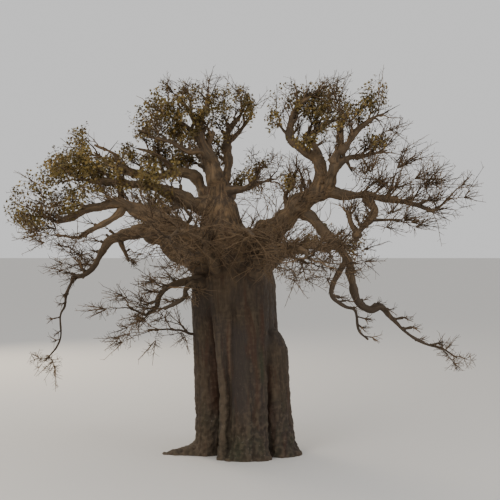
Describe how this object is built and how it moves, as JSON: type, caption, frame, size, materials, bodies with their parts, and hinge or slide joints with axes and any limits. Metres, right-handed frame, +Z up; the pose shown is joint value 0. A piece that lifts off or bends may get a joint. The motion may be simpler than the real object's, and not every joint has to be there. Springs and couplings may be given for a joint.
{
  "type": "baobab tree",
  "caption": "Old savanna baobab with a massive fluted trunk, crooked tapering boughs and sparse crown masses of twigs, some in leaf and some bare.",
  "frame": {"origin": "centre of the trunk's flat cut at ground level", "axes": "+Z up the trunk, -Y the side seen in the picture, +X to the right seen from there"},
  "size_m": [17.9849, 15.2459, 15.6875],
  "materials": {
    "bark": "rough, folded and fibrous",
    "twigs": "matt",
    "leaves": "matt"
  },
  "bodies": {
    "root": {"trunk": "bark", "high_left": "bark", "high_left_side": "bark", "high_mid": "bark", "centre_spur": "bark", "left_upper": "bark", "left_mid": "bark", "left_arch": "bark", "left_spur": "bark", "left_low": "bark", "left_low_drop": "bark", "left_hanging": "bark", "low_left": "bark", "side_spur": "bark", "right_main": "bark", "right_high": "bark", "right_high_side": "bark", "right_mid": "bark", "right_mid_side": "bark", "right_mid_low": "bark", "right_long": "bark", "right_drop": "bark", "right_low": "bark", "right_hanging": "bark", "right_low_drop": "bark", "front_left": "bark", "front_right": "bark", "back_left": "bark", "back_mid": "bark", "back_right": "bark", "back_high": "bark", "mass_high_left": "leaves", "mass_high_left_side": "leaves", "mass_high_mid": "leaves", "mass_centre": "leaves", "mass_left_upper": "leaves", "mass_left_inner": "leaves", "mass_left_mid": "leaves", "mass_left_arch": "leaves", "mass_left_spur": "twigs", "mass_left_low": "twigs", "mass_left_hanging": "twigs", "mass_low_left": "twigs", "mass_side_spur": "twigs", "mass_right_high": "leaves", "mass_right_inner": "leaves", "mass_right_side": "leaves", "mass_right_mid": "leaves", "mass_right_mid_side": "leaves", "mass_right_mid_low": "leaves", "mass_right_long": "twigs", "mass_right_fan": "twigs", "mass_right_drop": "twigs", "mass_right_hanging": "twigs", "mass_front_left": "twigs", "mass_front_right": "twigs", "mass_back_left": "leaves", "mass_back_mid": "leaves", "mass_back_right": "leaves", "mass_back_high": "leaves"}
  },
  "joints": []
}
